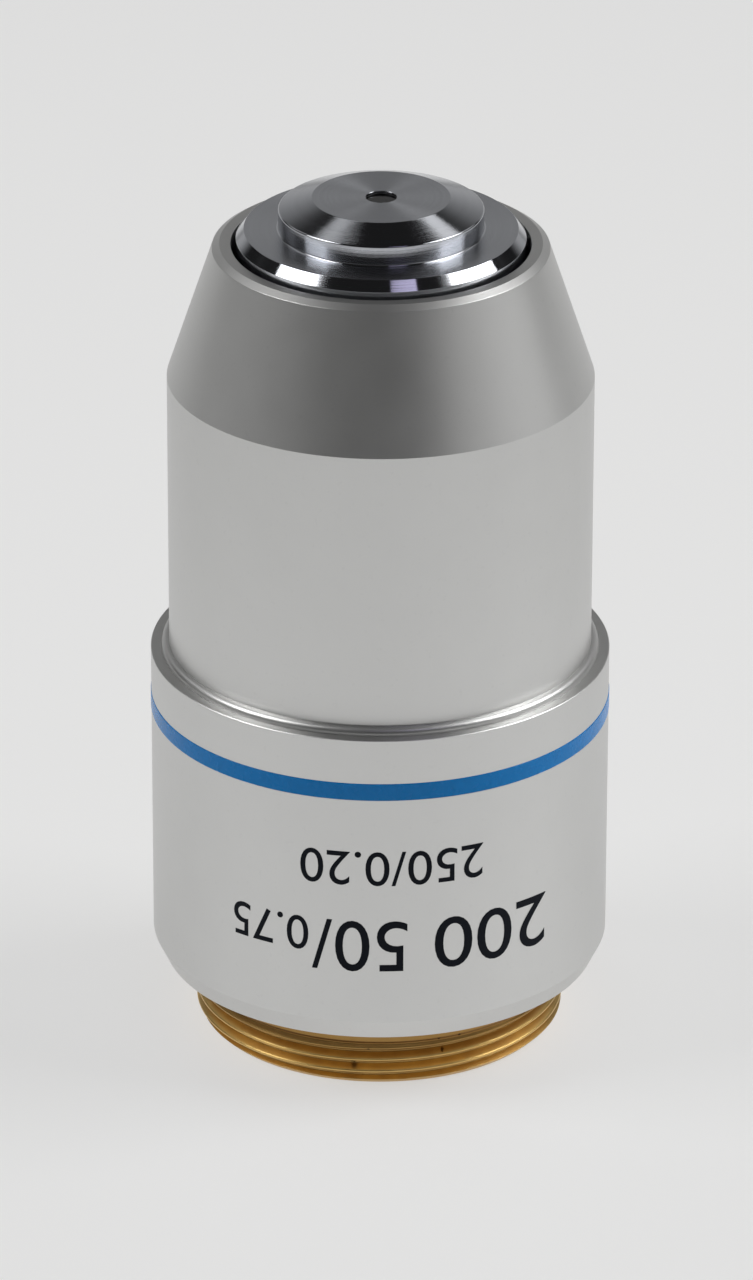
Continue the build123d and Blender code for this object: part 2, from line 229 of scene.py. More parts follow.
class StudioSettings(bpy.types.PropertyGroup):
    """Floor, lamps and camera."""

    floor: colour("Floor", "Colour of the pale floor", (0.83, 0.83, 0.825))
    floor_level: share("Floor level", "Light that the floor's own glow stands for", 1.09)
    own_light: share("Own glow", "Share of the floor's look that doesn't depend on the lamps", 0.60)
    lamp_distance: length("Lamp distance", "Distance from the object to the lamps", 1600)
    lamp_strength: share("Lamp strength", "Power of the strongest lamp, per square metre", 16.0)
    camera_x: length("Camera X", "Where the camera stands, across", -0.20)
    camera_y: length("Camera Y", "Where the camera stands, along its view", -410.6)
    camera_z: length("Camera Z", "Where the camera stands, above the shoulder", 209.05)
    pitch: angle("Camera pitch", "How far the camera looks down", 24.93)
    roll: angle("Camera roll", "How far the camera is turned about its view", 0.121)
    focal: FloatProperty(name="Focal length", description="Lens in millimetres", default=233.55)


SETTINGS = {
    "objective_mount": MountSizes,
    "objective_barrel": BarrelSizes,
    "objective_nose": NoseSizes,
    "objective_spring": SpringSizes,
    "objective_numerals": NumeralSettings,
    "objective_colours": FinishColours,
    "objective_studio": StudioSettings,
}


def rounded(corners, radii):
    """Outline of a half section with rounded corners, as points and outward normals.

    The outline runs counter-clockwise in (radius, height). At each corner an arc of its radius r
    replaces the stretch r * tan(turn / 2) on either side, and is tangent to both edges."""
    corners = np.asarray(corners, float)
    radii = np.broadcast_to(np.asarray(radii, float), len(corners))
    before = corners - np.roll(corners, 1, axis=0)
    run = np.hypot(before[:, 0], before[:, 1])
    way_in = before / run[:, None]
    way_out = np.roll(way_in, -1, axis=0)
    cross = way_in[:, 0] * way_out[:, 1] - way_in[:, 1] * way_out[:, 0]
    turn = np.arctan2(cross, (way_in * way_out).sum(1))
    reach = radii * np.tan(np.abs(turn) / 2)
    if (reach + np.roll(reach, 1) > run).any():
        raise ValueError(f"a corner's rounding is longer than its edge: {np.argmax(reach / run)}")
    normal_in = np.stack([way_in[:, 1], -way_in[:, 0]], axis=1)
    signed = (np.sign(turn) * radii)[:, None]
    centre = corners - way_in * reach[:, None] - signed * normal_in
    part = turn[:, None] * np.linspace(0, 1, ARC_STEPS + 1)
    normals = np.stack(
        [
            normal_in[:, :1] * np.cos(part) - normal_in[:, 1:] * np.sin(part),
            normal_in[:, :1] * np.sin(part) + normal_in[:, 1:] * np.cos(part),
        ],
        axis=-1,
    )
    points = centre[:, None] + signed[:, None] * normals
    return points.reshape(-1, 2), normals.reshape(-1, 2)


def angles(steps):
    """Evenly spaced angles round a full turn, which ends one step before it closes."""
    return np.linspace(0, FULL_TURN, steps, endpoint=False)


def turned(outline, normals):
    """Surface of revolution: (r cos t, r sin t, z) for each outline point (r, z) and angle t."""
    t = angles(TURN_STEPS)
    around = np.stack([np.cos(t), np.sin(t)], axis=-1)

    def spun(pairs):
        flat = pairs[:, 0][:, None, None] * around
        rise = np.broadcast_to(pairs[:, 1][:, None, None], flat.shape[:2] + (1,))
        return np.concatenate([flat, rise], axis=2)

    return spun(outline), spun(normals)


def closed_faces(rows, columns):
    """Corner numbers of the faces of a grid that closes on itself both ways."""
    row = np.arange(rows)[:, None]
    column = np.arange(columns)[None, :]
    next_row = (row + 1) % rows
    next_column = (column + 1) % columns
    corners = [
        row * columns + column,
        row * columns + next_column,
        next_row * columns + next_column,
        next_row * columns + column,
    ]
    return np.stack(np.broadcast_arrays(*corners), axis=-1).reshape(-1, 4)


def mesh_object(name, points, faces, normals=None):
    """A mesh object at the origin from arrays of points, faces and, where given, normals."""
    mesh = bpy.data.meshes.new(name)
    mesh.vertices.add(len(points))
    mesh.vertices.foreach_set("co", np.ascontiguousarray(points, np.float32).ravel())
    mesh.loops.add(faces.size)
    mesh.loops.foreach_set("vertex_index", faces.ravel().astype(np.int32))
    mesh.polygons.add(len(faces))
    mesh.polygons.foreach_set("loop_start", np.arange(len(faces), dtype=np.int32) * faces.shape[1])
    mesh.update(calc_edges=True)
    mesh.shade_smooth()
    if normals is not None:
        mesh.normals_split_custom_set_from_vertices(normals.reshape(-1, 3))
    return linked(name, mesh)


def linked(name, data):
    """An object for a mesh, text, lamp or camera, in the scene."""
    made = bpy.data.objects.new(name, data)
    bpy.context.scene.collection.objects.link(made)
    return made


def turned_piece(name, corners, radii):
    """A closed turned piece from the corners of its half section."""
    points, normals = turned(*rounded(corners, radii))
    return mesh_object(name, points.reshape(-1, 3), closed_faces(*points.shape[:2]), normals)


def seat(piece, node, body, material):
    """Makes a piece stand for a node, ride on its body and take the given finish."""
    piece.data.materials.append(material)
    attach(piece, body)
    if node is not None:
        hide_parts(node)


def ridge_drop(place, pitch):
    """How far a 55 degree thread lies inside its crest, at a place along the axis in pitches.

    Crest and root are arcs of 0.137329 pitch that meet straight flanks, 27.5 degrees from the
    radius, so the whole form is 0.64 pitch deep. Zero is the middle of a crest."""
    arc = 0.137329
    half_angle = math.radians(27.5)
    across = np.abs((place + 0.5) % 1.0 - 0.5)
    meet = arc * math.cos(half_angle)
    drop_at_meet = arc * (1 - math.sin(half_angle))
    near_crest = arc - np.sqrt(np.maximum(arc**2 - across**2, 0))
    flank = drop_at_meet + (across - meet) / math.tan(half_angle)
    depth = 2 * drop_at_meet + (0.5 - 2 * meet) / math.tan(half_angle)
    near_root = depth - arc + np.sqrt(np.maximum(arc**2 - (0.5 - across) ** 2, 0))
    return pitch * np.where(across < meet, near_crest, np.where(across > 0.5 - meet, near_root, flank))


def smooth_step(value, low, high):
    """0 below low, 1 above high, and the cubic 3 t^2 - 2 t^3 between them."""
    t = np.clip((value - low) / (high - low), 0, 1)
    return t * t * (3 - 2 * t)


class OBJECTIVE_OT_thread_mount(bpy.types.Operator):
    """Brass body with its right-handed mounting thread"""

    bl_idname = "objective.thread_mount"
    bl_label = "Thread mount"

    def execute(self, context):
        sizes = context.scene.objective_mount
        colours = context.scene.objective_colours
        piece = self.surface(sizes)
        cut_guide_hole(piece, sizes)
        seat(piece, "thread_mount", HOUSING, thread_brass(colours, sizes))
        return {"FINISHED"}

    def surface(self, sizes):
        """The turned section spun about the axis, less the thread's helical groove.

        At height z and angle t from the front, the groove's depth is the ridge form at
        (z - crest height) / pitch - t / 2 pi, faded out towards the shoulder. What stands outside
        the lead-in bevel is cut by it. A normal leans along the axis by the groove's slope, and
        round the axis by that slope times pitch / (2 pi radius)."""
        foot, top = foot_of("thread_mount"), top_of("thread_mount")
        bore = radius_of("lens_tube") + sizes.bore_gap
        crest, body = sizes.thread_radius, radius_of("thread_mount")
        register = crest + sizes.register_step
        corners = [
            (bore, foot),
            (crest - sizes.lead, foot),
            (crest, foot + sizes.lead),
            (crest, 0),
            (register, 0),
            (register, sizes.register_height),
            (body, sizes.register_height),
            (body, sizes.neck_foot),
            (sizes.neck_radius, sizes.neck_foot),
            (sizes.neck_radius, top),
            (bore, top),
        ]
        outline, normals = rounded(corners, sizes.edge)
        outline, normals, in_thread = self.with_thread_rows(outline, normals, foot, sizes)
        points, directions = turned(outline, normals)
        t = angles(TURN_STEPS)
        radius = np.broadcast_to(outline[:, :1], points.shape[:2])
        height = points[:, :, 2]
        step = 0.02 * MM

        def reach(z):
            turn = (t + math.pi / 2) / FULL_TURN
            drop = ridge_drop((z - sizes.crest_height) / sizes.pitch - turn, sizes.pitch)
            return crest - drop * (1 - smooth_step(z, -sizes.run_out, -sizes.plain))

        cut = in_thread[:, None] & (reach(height) < radius)
        radius = np.where(cut, reach(height), radius)
        slope = (reach(height + step) - reach(height - step)) / (2 * step)
        sideways = sizes.pitch / (FULL_TURN * radius) * slope
        around = np.stack([np.cos(t), np.sin(t)], axis=-1)
        along = np.stack([-np.sin(t), np.cos(t)], axis=-1)
        flat = around[None] + sideways[:, :, None] * along[None]
        threaded = np.concatenate([flat, -slope[:, :, None]], axis=2)
        threaded /= np.linalg.norm(threaded, axis=2, keepdims=True)
        directions = np.where(cut[:, :, None], threaded, directions)
        points = np.concatenate([radius[:, :, None] * around[None], height[:, :, None]], axis=2)
        return mesh_object("brass_body", points.reshape(-1, 3), closed_faces(*points.shape[:2]), directions)

    def with_thread_rows(self, outline, normals, foot, sizes):
        """The outline with evenly spaced rows from the free end to the shoulder, and which they are."""
        rows = 110
        outer = outline[:, 0] > sizes.thread_radius - sizes.lead - sizes.edge
        zone = outer & (outline[:, 1] > foot - sizes.edge) & (outline[:, 1] < -0.9 * sizes.edge)
        first, last = np.flatnonzero(zone)[[0, -1]]
        kept = np.arange(first, last + 1)
        run = np.concatenate([[0], np.cumsum(np.hypot(*np.diff(outline[kept], axis=0).T))])
        places = np.linspace(0, run[-1], rows)
        new = np.stack([np.interp(places, run, outline[kept, k]) for k in (0, 1)], axis=1)
        new_normals = np.stack([np.interp(places, run, normals[kept, k]) for k in (0, 1)], axis=1)
        new_normals /= np.linalg.norm(new_normals, axis=1, keepdims=True)
        marks = np.zeros(len(outline) - len(kept) + rows, bool)
        marks[first : first + rows] = True
        joined = np.concatenate([outline[:first], new, outline[last + 1 :]])
        joined_normals = np.concatenate([normals[:first], new_normals, normals[last + 1 :]])
        return joined, joined_normals, marks


def cut_guide_hole(piece, sizes):
    """Cuts the guide screw's round hole through the body's wall on the +X side."""
    steps = 48
    t = angles(steps)
    ring = np.stack([np.zeros(steps), np.cos(t), np.sin(t)], axis=1) * sizes.screw_radius
    inner = ring + np.array([radius_of("lens_tube") / 2, 0, sizes.screw_height])
    outer = ring + np.array([radius_of("marked_sleeve"), 0, sizes.screw_height])
    cutter = bpy.data.meshes.new("guide_hole")
    index = np.arange(steps)
    after = (index + 1) % steps
    sides = np.stack([index, after, after + steps, index + steps], axis=1)
    faces = sides.tolist() + [index[::-1].tolist(), (index + steps).tolist()]
    cutter.from_pydata(np.concatenate([inner, outer]).tolist(), [], faces)
    tool = linked("guide_hole", cutter)
    cut = piece.modifiers.new("guide_hole", "BOOLEAN")
    cut.operation = "DIFFERENCE"
    cut.solver = "EXACT"
    cut.object = tool
    bake_modifiers(piece)
    bpy.data.objects.remove(tool)


def bake_modifiers(piece):
    """Replaces a piece's mesh with what its modifiers make of it."""
    seen = piece.evaluated_get(bpy.context.evaluated_depsgraph_get())
    mesh = bpy.data.meshes.new_from_object(seen)
    piece.modifiers.clear()
    piece.data = mesh


class OBJECTIVE_OT_marked_sleeve(bpy.types.Operator):
    """Plated sleeve with an inward lip, a bevelled foot and the band's groove"""

    bl_idname = "objective.marked_sleeve"
    bl_label = "Marked sleeve"

    def execute(self, context):
        sizes = context.scene.objective_barrel
        outer, top = radius_of("marked_sleeve"), top_of("marked_sleeve")
        groove = outer - sizes.band_depth
        band_foot, band_top = foot_of("colour_band"), top_of("colour_band")
        corners = [
            (sizes.lip_bore, 0),
            (sizes.lip_radius, 0),
            (outer, sizes.lip_bevel),
            (outer, band_foot),
            (groove, band_foot),
            (groove, band_top),
            (outer, band_top),
            (outer, top - sizes.sleeve_edge),
            (outer - sizes.sleeve_edge, top),
            (sizes.sleeve_bore, top),
            (sizes.sleeve_bore, sizes.lip_height),
            (sizes.lip_bore, sizes.lip_height),
        ]
        fine = sizes.edge / 4
        edges = [fine, sizes.edge, sizes.edge] + 9 * [fine]
        piece = turned_piece("plated_sleeve", corners, edges)
        finish = satin_chrome(context.scene.objective_colours)
        seat(piece, "marked_sleeve", HOUSING, finish)
        return {"FINISHED"}


class OBJECTIVE_OT_colour_band(bpy.types.Operator):
    """Blue enamel band in the sleeve's groove"""

    bl_idname = "objective.colour_band"
    bl_label = "Colour band"

    def execute(self, context):
        sizes = context.scene.objective_barrel
        inner = radius_of("marked_sleeve") - sizes.band_depth
        outer, foot, top = radius_of("colour_band"), foot_of("colour_band"), top_of("colour_band")
        corners = [(inner, foot), (outer, foot), (outer, top), (inner, top)]
        fine = sizes.edge / 4
        piece = turned_piece("enamel_band", corners, [fine, sizes.edge, sizes.edge, fine])
        finish = band_enamel(context.scene.objective_colours)
        seat(piece, "colour_band", HOUSING, finish)
        return {"FINISHED"}


class OBJECTIVE_OT_nose_housing(bpy.types.Operator):
    """Plated upper housing: skirt, bead, barrel, cone and rim"""

    bl_idname = "objective.nose_housing"
    bl_label = "Nose housing"

    def execute(self, context):
        sizes = context.scene.objective_barrel
        bead_radius, top = radius_of("nose_housing"), top_of("nose_housing")
        sleeve_top = top_of("marked_sleeve")
        bead = bead_radius - sizes.barrel_radius
        corners = [
            (sizes.skirt_bore, foot_of("nose_housing")),
            (sizes.skirt_radius, foot_of("nose_housing")),
            (sizes.skirt_radius, sleeve_top),
            (bead_radius, sleeve_top),
            (bead_radius, sleeve_top + bead),
            (sizes.barrel_radius, sleeve_top + bead),
            (sizes.barrel_radius, sizes.cone_foot),
            (sizes.rim_radius, sizes.cone_top),
            (sizes.rim_radius - sizes.rim_bevel, top),
            (sizes.mouth_radius, top),
            (sizes.mouth_radius, sizes.ledge_height),
            (sizes.chamber_radius, sizes.ledge_height),
            (sizes.chamber_radius, sizes.chamber_foot),
            (sizes.skirt_bore, sizes.chamber_foot),
        ]
        edge, fine = sizes.edge, sizes.edge / 4
        edges = 4 * [fine] + [bead - 2 * fine, fine, 2 * edge] + 3 * [edge] + 4 * [fine]
        piece = turned_piece("plated_housing", corners, edges)
        finish = satin_chrome(context.scene.objective_colours)
        seat(piece, "nose_housing", HOUSING, finish)
        return {"FINISHED"}


class OBJECTIVE_OT_front_cell(bpy.types.Operator):
    """Polished nose: spigot, outer ring, raised disc and window"""

    bl_idname = "objective.front_cell"
    bl_label = "Front cell"

    def execute(self, context):
        sizes = context.scene.objective_nose
        outer, foot, tip = radius_of("front_cell"), foot_of("front_cell"), top_of("front_cell")
        seat_height = top_of("lens_tube")
        corners = [
            (sizes.lens_seat, foot),
            (sizes.spigot_radius, foot),
            (sizes.spigot_radius, seat_height),
            (outer, seat_height),
            (outer, sizes.bevel_foot),
            (outer - sizes.ring_bevel, sizes.ring_top),
            (sizes.disc_radius, sizes.ring_top),
            (sizes.disc_radius, sizes.disc_shoulder),
            (sizes.flat_radius, tip),
            (sizes.window_radius, tip),
            (sizes.window_radius, tip - sizes.window_lip),
            (sizes.face_radius, tip - sizes.window_lip),
            (sizes.seat_radius, sizes.seat_top),
            (sizes.seat_radius, sizes.seat_foot),
            (sizes.lens_seat, sizes.seat_foot),
        ]
        edge, fine = sizes.edge, sizes.edge / 3
        seen_edges = [edge, edge, sizes.foot_round, sizes.shoulder_round, 2 * edge, edge]
        piece = turned_piece("polished_cell", corners, 4 * [fine] + seen_edges + 5 * [fine])
        finish = polished_nose(context.scene.objective_colours, sizes)
        seat(piece, "front_cell", LENS_UNIT, finish)
        return {"FINISHED"}


class OBJECTIVE_OT_return_spring(bpy.types.Operator):
    """Return spring round the lens tube, with closer turns at its ends"""

    bl_idname = "objective.return_spring"
    bl_label = "Return spring"

    def execute(self, context):
        sizes = context.scene.objective_spring
        foot, top = foot_of("return_spring"), top_of("return_spring")
        piece = self.surface(sizes, foot, top)
        finish = bright_steel(context.scene.objective_colours)
        seat(piece, "return_spring", HOUSING, finish)
        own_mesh(piece)
        return {"FINISHED"}

    def surface(self, sizes, foot, top):
        """Tube along the helix (R cos a, R sin a, h(a)).

        h rises by its end share e of the mean pitch at both ends and faster between them:
        h = H (e s + (1 - e) (s - sin(2 pi s) / 2 pi)) at the share s of the turns. The tube's
        radius follows a quarter circle to nothing at each end."""
        wire = sizes.wire
        along, about, cap = 96 * sizes.turns, 20, 6
        coil = radius_of("return_spring") - wire
        s = np.linspace(0, 1, along)
        beta = np.linspace(math.pi / 2, 0, cap, endpoint=False)
        s = np.concatenate([np.zeros(cap), s, np.ones(cap)])
        width = wire * np.concatenate([np.cos(beta), np.ones(along), np.cos(beta)[::-1]])
        shift = wire * np.concatenate([-np.sin(beta), np.zeros(along), np.sin(beta)[::-1]])
        a = FULL_TURN * sizes.turns * s
        rise = top - foot - 2 * wire
        eased = sizes.end_share * s + (1 - sizes.end_share) * (s - np.sin(FULL_TURN * s) / FULL_TURN)
        slope = rise * (sizes.end_share + (1 - sizes.end_share) * (1 - np.cos(FULL_TURN * s)))
        slope /= FULL_TURN * sizes.turns
        centre = np.stack([coil * np.cos(a), coil * np.sin(a), foot + wire + rise * eased], axis=1)
        tangent = np.stack([-coil * np.sin(a), coil * np.cos(a), slope], axis=1)
        tangent /= np.linalg.norm(tangent, axis=1, keepdims=True)
        outward = np.stack([np.cos(a), np.sin(a), np.zeros_like(a)], axis=1)
        upward = np.cross(outward, tangent)
        p = angles(about)
        spoke = outward[:, None] * np.cos(p)[:, None] - upward[:, None] * np.sin(p)[:, None]
        points = (centre + tangent * shift[:, None])[:, None] + width[:, None, None] * spoke
        faces = closed_faces(*points.shape[:2])[: -points.shape[1]]
        piece = mesh_object("coil_spring", points.reshape(-1, 3), faces)
        merge_points(piece)
        return piece


def merge_points(piece, distance=1e-7):
    """Merges points that coincide and turns all faces outward."""
    work = bmesh.new()
    work.from_mesh(piece.data)
    bmesh.ops.remove_doubles(work, verts=work.verts, dist=distance)
    bmesh.ops.recalc_face_normals(work, faces=work.faces)
    work.to_mesh(piece.data)
    work.free()
    piece.data.shade_smooth()


class OBJECTIVE_OT_numerals(bpy.types.Operator):
    """Plain numbers printed on the sleeve"""

    bl_idname = "objective.numerals"
    bl_label = "Numerals"

    def execute(self, context):
        sizes = context.scene.objective_numerals
        finish = printed_ink(context.scene.objective_colours)
        tall, low = sizes.large_height, sizes.small_height
        main, upper = sizes.main_line, sizes.upper_line
        # The last two values are where a text starts and ends, as arc lengths from the sleeve's front.
        rows = [
            ("numeral_large", sizes.large, tall, main, 3.0 * MM, 10.0 * MM),
            ("numeral_middle", sizes.middle, tall, main, -3.7 * MM, 1.5 * MM),
            ("numeral_small", sizes.small, low, main, -8.5 * MM, -3.9 * MM),
            ("numeral_upper", sizes.upper, low, upper, -4.35 * MM, 5.75 * MM),
        ]
        for name, text, height, base, left, right in rows:
            piece = self.printed(name, text, height, base, left, right, sizes.thickness)
            seat(piece, None, HOUSING, finish)
        return {"FINISHED"}

    def printed(self, name, text, height, base, left, right, thickness):
        """Text laid on the sleeve upside down, from the arc length left to the arc length right.

        A flat point (x, y, h) goes to angle x / R on the cylinder of radius R + h, at the height of
        the line's base less y, where R is the sleeve's radius."""
        letters = bpy.data.curves.new(name, "FONT")
        letters.body = text
        letters.extrude = 0.5
        letters.resolution_u = 6
        flat = linked(name + "_flat", letters)
        mesh = bpy.data.meshes.new_from_object(flat)
        bpy.data.objects.remove(flat)
        co = self.split(mesh, right - left)
        low, high = co.min(0), co.max(0)
        x = left + (high[0] - co[:, 0]) / (high[0] - low[0]) * (right - left)
        y = co[:, 1] / (high[1] - max(low[1], 0)) * height
        sink = 2 * thickness
        h = np.where(co[:, 2] > 0, thickness, -sink)
        radius = radius_of("marked_sleeve")
        turn = x / radius
        co = np.stack([(radius + h) * np.sin(turn), -(radius + h) * np.cos(turn), base - y], axis=1)
        mesh.vertices.foreach_set("co", co.astype(np.float32).ravel())
        mesh.update()
        return linked(name, mesh)

    def split(self, mesh, width):
        """Cuts a flat text mesh across every quarter millimetre of its width, and gives its points."""
        work = bmesh.new()
        work.from_mesh(mesh)
        bmesh.ops.remove_doubles(work, verts=work.verts, dist=1e-5)
        x = [v.co.x for v in work.verts]
        cuts = int(width / (0.25 * MM))
        for place in np.linspace(min(x), max(x), cuts + 2)[1:-1]:
            parts = work.verts[:] + work.edges[:] + work.faces[:]
            bmesh.ops.bisect_plane(work, geom=parts, plane_co=(place, 0, 0), plane_no=(1, 0, 0), dist=1e-6)
        work.to_mesh(mesh)
        work.free()
        co = np.zeros(len(mesh.vertices) * 3, np.float32)
        mesh.vertices.foreach_get("co", co)
        return co.reshape(-1, 3).astype(float)


def operator_pair(operation):
    """A Python operator on wires and its reflected form. Both add a Math node."""

    def forward(self, other):
        return self.math(operation, self, other)

    def reflected(self, other):
        return self.math(operation, other, self)

    return forward, reflected


class Wire:
    """A shader socket. Arithmetic on it adds Math nodes to its tree."""

    def __init__(self, tree, socket):
        self.tree = tree
        self.socket = socket

    def math(self, operation, *values):
        """A Math node over the given values."""
        return self.tree.node("ShaderNodeMath", {"operation": operation}, dict(enumerate(values)))

    __add__, __radd__ = operator_pair("ADD")
    __sub__, __rsub__ = operator_pair("SUBTRACT")
    __mul__, __rmul__ = operator_pair("MULTIPLY")
    __pow__, __rpow__ = operator_pair("POWER")


class Tree:
    """A shader node tree that is written as expressions."""

    def __init__(self, tree):
        self.tree = tree

    def node(self, kind, settings=None, sockets=None, output=0):
        """Adds a node: its settings first, then the values or links of its sockets."""
        made = self.tree.nodes.new(kind)
        for name, value in (settings or {}).items():
            setattr(made, name, value)
        for key, value in (sockets or {}).items():
            self.feed(made.inputs[key], value)
        return Wire(self, made.outputs[output])

    def feed(self, socket, value):
        """Links a wire to a socket, or sets a plain value on it."""
        if isinstance(value, Wire):
            self.tree.links.new(value.socket, socket)
        else:
            socket.default_value = value

    def axes(self, vector):
        """The three parts of a vector."""
        split = self.node("ShaderNodeSeparateXYZ", sockets={0: vector}).socket.node
        return [Wire(self, out) for out in split.outputs]

    def smooth(self, value, low, high):
        """0 below low and 1 above high, with a smooth rise between them."""
        settings = {"interpolation_type": "SMOOTHSTEP", "clamp": True}
        sockets = {"Value": value, "From Min": low, "From Max": high}
        return self.node("ShaderNodeMapRange", settings, sockets)

    def blend(self, factor, first, second):
        """A colour between two colours."""
        colours = {6: paint(first), 7: paint(second)}
        return self.node("ShaderNodeMix", {"data_type": "RGBA"}, {0: factor, **colours}, output=2)


def paint(value):
    """A colour with its fourth number, or a wire as it is."""
    return value if isinstance(value, Wire) else (*tuple(value)[:3], 1.0)


class Finish(Tree):
    """A material whose look is written as expressions and ends in a Principled shader."""

    def __init__(self, name):
        self.material = bpy.data.materials.new(name)
        self.material.use_nodes = True
        super().__init__(self.material.node_tree)
        self.shader = self.tree.nodes["Principled BSDF"]
        self.place = self.node("ShaderNodeTexCoord", output="Object")

    def noise(self, grain, detail):
        """Noise whose lumps are about one grain across."""
        sockets = {"Vector": self.place, "Scale": 1 / grain, "Detail": detail}
        return self.node("ShaderNodeTexNoise", sockets=sockets)

    def rings(self, place, grain, detail):
        """Noise along one length only, as a turning tool leaves it."""
        sockets = {"W": place, "Scale": 1 / grain, "Detail": detail}
        return self.node("ShaderNodeTexNoise", {"noise_dimensions": "1D"}, sockets)

    def radius(self):
        """Distance from the axis."""
        x, y, _ = self.axes(self.place)
        return (x * x + y * y) ** 0.5

    def height(self):
        """Height above the shoulder."""
        return self.axes(self.place)[2]

    def shades(self, factor, colour, low, high):
        """A colour between two lighter or darker forms of itself."""
        return self.blend(factor, scaled(colour, low), scaled(colour, high))

    def bump(self, height, depth, strength):
        """A normal bent by a height that is worth a depth in metres."""
        sockets = {"Strength": strength, "Distance": depth, "Height": height}
        return self.node("ShaderNodeBump", sockets=sockets)

    def surface(self, colour, roughness, others):
        """Feeds the shader its colour, its roughness and other sockets, and gives the material."""
        for name, value in {"Base Color": colour, "Roughness": roughness, **others}.items():
            coloured = name.endswith(("Color", "Tint"))
            self.feed(self.shader.inputs[name], paint(value) if coloured else value)
        return self.material


def known(name):
    """A material that is already made, or nothing."""
    return bpy.data.materials.get(name)


def scaled(value, factor):
    """A colour made lighter or darker by a factor."""
    return tuple(min(1.0, part * factor) for part in value)


def turned_sheen(amount):
    """Sockets that draw a highlight out as the rings of turning do, by a quarter turn of its grain."""
    return {"Anisotropic": amount, "Anisotropic Rotation": 0.25}


def satin_chrome(colours):
    """Plate over fine blasting: a grain of a tenth of a millimetre under soft cloudy patches."""
    if known("satin_plate"):
        return known("satin_plate")
    finish = Finish("satin_plate")
    grain = finish.noise(0.09 * MM, 2)
    cloud = finish.noise(2.4 * MM, 4)
    speck = finish.noise(0.3 * MM, 2)
    shade = finish.shades(cloud, colours.satin, 0.97, 1.03)
    shade = finish.blend(finish.smooth(speck, 0.60, 0.78) * 0.10, shade, scaled(colours.satin, 0.7))
    rough = 0.33 + cloud * 0.05 + grain * 0.03
    normal = finish.bump(grain, 0.004 * MM, 0.6)
    plate = {"Metallic": 0.97, "Specular Tint": (0.9, 0.9, 0.9), "Normal": normal}
    return finish.surface(shade, rough, plate)


def band_enamel(colours):
    """Smooth blue enamel with a faint orange peel."""
    finish = Finish("band_enamel")
    peel = finish.noise(0.5 * MM, 1)
    shade = finish.shades(finish.noise(1.5 * MM, 2), colours.blue, 0.95, 1.06)
    normal = finish.bump(peel, 0.002 * MM, 0.4)
    return finish.surface(shade, 0.24 + peel * 0.06, {"IOR": 1.33, "Normal": normal})


def thread_brass(colours, sizes):
    """Turned brass with a random cloudy stain, painted shade in the thread's roots that leaves the crests
    lighter, and painted shade under the shoulder.
    """
    finish = Finish("turned_brass")
    radius, height = finish.radius(), finish.height()
    lines = finish.rings(radius + height, 0.035 * MM, 3)
    cloud = finish.noise(1.1 * MM, 4)
    # Painted shade: the brass darkens towards the thread's roots, where shade falls, so the crests stay
    # lighter.
    root = 1 - finish.smooth(radius, sizes.thread_radius - 0.3 * MM, sizes.thread_radius)
    # The darker brass mixes this painted root shade with a random cloudy stain.
    stain_and_root_shade = root * 0.5 + 0.15 + (cloud - 0.5) * 0.9
    shade = finish.blend(finish.smooth(stain_and_root_shade, 0.0, 1.0), colours.thread, colours.stain_and_root_shade)
    # Painted shade under the shoulder's overhang: brown brass that darkens from 2.4 mm below the shoulder
    # upwards, eased a little in its last few tenths of a millimetre.
    upper = finish.smooth(height, -2.4 * MM, -1.3 * MM)
    top = finish.smooth(height, -1.35 * MM, -1.0 * MM)
    shade = finish.blend(upper * (1 - top * 0.15) * 0.85, shade, colours.shoulder_shade)
    shade = finish.blend(dirt_specks(finish, sizes) * 0.85, shade, colours.dirt)
    rough = 0.24 + lines * 0.12 + cloud * 0.08
    normal = finish.bump(lines, 0.003 * MM, 0.5)
    return finish.surface(shade, rough, {"Metallic": 1.0, "Normal": normal, **turned_sheen(0.5)})


def dirt_specks(finish, sizes):
    """Dark specks on the front of the thread, each an uneven spot.

    A speck has its arc length from the front, its height and its radius, in millimetres."""
    specks = [(-1.4, -2.6, 0.12), (-0.6, -1.7, 0.06), (3.5, -2.1, 0.07), (4.5, -1.3, 0.07)]
    specks += [(3.3, -1.3, 0.06), (5.2, -2.4, 0.06), (6.1, -2.4, 0.05)]
    wobble = (finish.noise(0.10 * MM, 2) - 0.5) * (0.16 * MM)
    x, y, z = finish.axes(finish.place)
    front = 1 - finish.smooth(y, -0.5 * sizes.thread_radius, 0.0)
    mask = 0.0
    for along, height, size in specks:
        across = x - sizes.thread_radius * math.sin(along * MM / sizes.thread_radius)
        above = z - height * MM
        away = (across * across + above * above) ** 0.5
        near = 1 - finish.smooth(away + wobble, 0.6 * size * MM, 1.7 * size * MM)
        mask = near.math("MAXIMUM", mask, near)
    return mask * front


def polished_nose(colours, sizes):
    """Polished metal with the fine rings of its turning, and painted shade inside the window: black and
    matt there.
    """
    finish = Finish("polished_metal")
    radius, height = finish.radius(), finish.height()
    rings = finish.rings(radius + height, 0.03 * MM, 2)
    broad = finish.rings(radius + height, 0.25 * MM, 2)
    facing_up = finish.axes(finish.node("ShaderNodeNewGeometry", output="Normal"))[2]
    faced = finish.smooth(facing_up, 0.96, 0.99)
    # Painted shade: below the window's rim and within the lens seat's radius, the cell is painted black and
    # matt, for the dark look through the window.
    lip_foot = top_of("front_cell") - sizes.window_lip
    deep = 1 - finish.smooth(height, lip_foot - 0.01 * MM, lip_foot + 0.05 * MM)
    hollow = sizes.seat_radius + 0.18 * MM
    inside = deep * (1 - finish.smooth(radius, hollow, hollow + 0.1 * MM))
    shade = finish.blend(inside, finish.shades(broad, colours.polished, 0.95, 1.05), colours.black)
    rough = 0.09 + broad * 0.02 + faced * 0.13 + inside * 0.4
    normal = finish.bump(rings, 0.002 * MM, 1.0)
    return finish.surface(shade, rough, {"Metallic": 1 - inside, "Normal": normal, **turned_sheen(0.9)})


